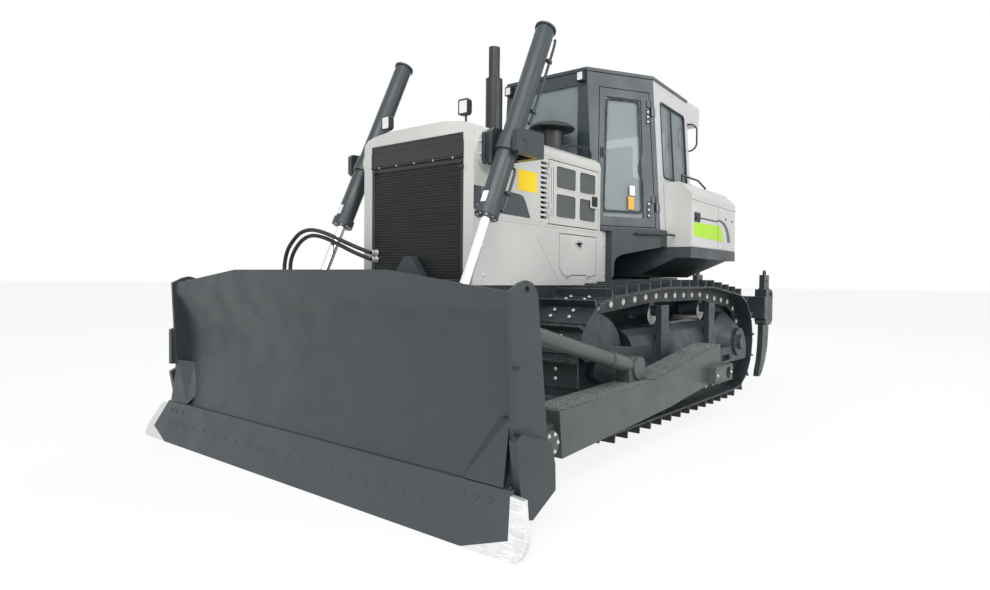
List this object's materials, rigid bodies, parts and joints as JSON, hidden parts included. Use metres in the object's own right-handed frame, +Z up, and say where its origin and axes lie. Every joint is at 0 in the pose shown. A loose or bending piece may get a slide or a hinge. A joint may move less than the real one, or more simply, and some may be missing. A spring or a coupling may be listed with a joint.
{
  "type": "crawler bulldozer",
  "caption": "Tracked bulldozer with a straight blade on push arms, lift cylinders, closed cab, hood with side doors and a rear ripper with three teeth.",
  "frame": {"origin": "on the ground, in the middle of the length and of the width", "axes": "+Z up, -Y towards the blade (front), +X towards the machine's left side"},
  "size_m": [4.1, 7.02, 3.44],
  "materials": {
    "dark_paint": "satin",
    "black_paint": "satin",
    "engine_paint": "matte",
    "cab_paint": "satin",
    "arm_paint": "satin",
    "grey_paint": "satin",
    "track_steel": "matte",
    "bare_steel": "brushed",
    "chrome": "polished",
    "trim": "matte",
    "glass": "clear",
    "rubber": "matte"
  },
  "bodies": {
    "chassis": {"main_frame": "dark_paint", "engine_block": "engine_paint", "grille": "black_paint", "hood_shell": "grey_paint", "hood_sides": "grey_paint", "stacks": "dark_paint", "cab_shell": "cab_paint", "cab_roof": "cab_paint", "cab_glass": "glass", "cab_inside": "trim", "ac_unit": "grey_paint", "platform": "dark_paint", "side_tanks": "grey_paint", "track_frames": "dark_paint", "track_left": "track_steel", "track_right": "track_steel", "sprockets": "bare_steel", "idlers": "dark_paint", "rollers": "dark_paint", "final_drives": "dark_paint", "lift_yokes": "dark_paint", "seat": "trim", "rails_lamps": "black_paint", "hoses": "rubber"},
    "engine_door_l": {"engine_door_left": "grey_paint"},
    "engine_door_r": {"engine_door_right": "grey_paint"},
    "service_door_l": {"service_door_left": "grey_paint"},
    "service_door_r": {"service_door_right": "grey_paint"},
    "cab_door_l": {"cab_door_left": "cab_paint", "door_glass_left": "glass"},
    "cab_door_r": {"cab_door_right": "cab_paint", "door_glass_right": "glass"},
    "blade_arms": {"blade": "dark_paint", "cutting_edge": "bare_steel", "end_bits": "bare_steel", "push_arms": "arm_paint", "braces": "arm_paint"},
    "lift_tubes": {"lift_barrels": "dark_paint"},
    "lift_pistons": {"lift_rods": "chrome"},
    "ripper_lower": {"ripper_links": "dark_paint"},
    "ripper_upper": {"ripper_struts": "dark_paint"},
    "ripper_tool": {"ripper_beam": "dark_paint", "ripper_shanks": "bare_steel"},
    "ripper_tubes": {"ripper_barrels": "dark_paint"},
    "ripper_pistons": {"ripper_rods": "chrome"}
  },
  "joints": [
    {"name": "blade_lift", "type": "hinge", "parent": "chassis", "child": "blade_arms", "pos_m": [0, 0.23, 0.455], "axis": [-1, 0, 0], "range_deg": [-8, 16.5], "deforming": ["hoses"]},
    {"name": "lift_swing", "type": "hinge", "parent": "chassis", "child": "lift_tubes", "pos_m": [0, -2.185, 2.34], "axis": [-1, 0, 0], "range_deg": [-4.36, 8.89]},
    {"name": "lift_stroke", "type": "slide", "parent": "lift_tubes", "child": "lift_pistons", "axis": [0, 0.4035, 0.915], "range_m": [-0.4187, 0.8625]},
    {"name": "ripper_lift", "type": "hinge", "parent": "chassis", "child": "ripper_lower", "pos_m": [0, 2.15, 0.6], "axis": [1, 0, 0], "range_deg": [-32, 35]},
    {"name": "ripper_top_link", "type": "hinge", "parent": "chassis", "child": "ripper_upper", "pos_m": [0, 2.15, 1.12], "axis": [1, 0, 0], "range_deg": [-32.5, 35.5]},
    {"name": "ripper_level", "type": "hinge", "parent": "ripper_lower", "child": "ripper_tool", "pos_m": [0, 2.95, 0.6], "axis": [1, 0, 0], "range_deg": [-35.5, 32.5]},
    {"name": "ripper_swing", "type": "hinge", "parent": "chassis", "child": "ripper_tubes", "pos_m": [0, 2.06, 1], "axis": [1, 0, 0], "range_deg": [-20.23, 22.11]},
    {"name": "ripper_stroke", "type": "slide", "parent": "ripper_tubes", "child": "ripper_pistons", "axis": [0, -0.8517, 0.5241], "range_m": [-0.1655, 0.1809]},
    {"name": "engine_door_left_hinge", "type": "hinge", "parent": "chassis", "child": "engine_door_l", "pos_m": [0.649, -1.4045, 2.1], "axis": [0, 0, -1], "range_deg": [0, 110]},
    {"name": "engine_door_right_hinge", "type": "hinge", "parent": "chassis", "child": "engine_door_r", "pos_m": [-0.649, -1.4045, 2.1], "axis": [0, 0, 1], "range_deg": [0, 110]},
    {"name": "service_door_left_hinge", "type": "hinge", "parent": "chassis", "child": "service_door_l", "pos_m": [0.649, -0.95, 1.392], "axis": [0, 1, 0], "range_deg": [0, 85]},
    {"name": "service_door_right_hinge", "type": "hinge", "parent": "chassis", "child": "service_door_r", "pos_m": [-0.649, -0.95, 1.392], "axis": [0, -1, 0], "range_deg": [0, 85]},
    {"name": "cab_door_left_hinge", "type": "hinge", "parent": "chassis", "child": "cab_door_l", "pos_m": [0.94633, -0.03129, 2.56518], "axis": [-0.0672, -0.0103, 0.9977], "range_deg": [0, 100]},
    {"name": "cab_door_right_hinge", "type": "hinge", "parent": "chassis", "child": "cab_door_r", "pos_m": [-0.94633, -0.03129, 2.56518], "axis": [-0.0672, 0.0103, -0.9977], "range_deg": [0, 100]}
  ],
  "couplings": [
    {"joint": "lift_swing", "follows": "blade_lift", "ratio": 0.5327},
    {"joint": "lift_stroke", "follows": "blade_lift", "m_per_rad": 2.9914},
    {"joint": "ripper_top_link", "follows": "ripper_lift", "ratio": 1},
    {"joint": "ripper_level", "follows": "ripper_lift", "ratio": -1},
    {"joint": "ripper_swing", "follows": "ripper_lift", "ratio": 0.6259},
    {"joint": "ripper_stroke", "follows": "ripper_lift", "m_per_rad": 0.29447}
  ]
}
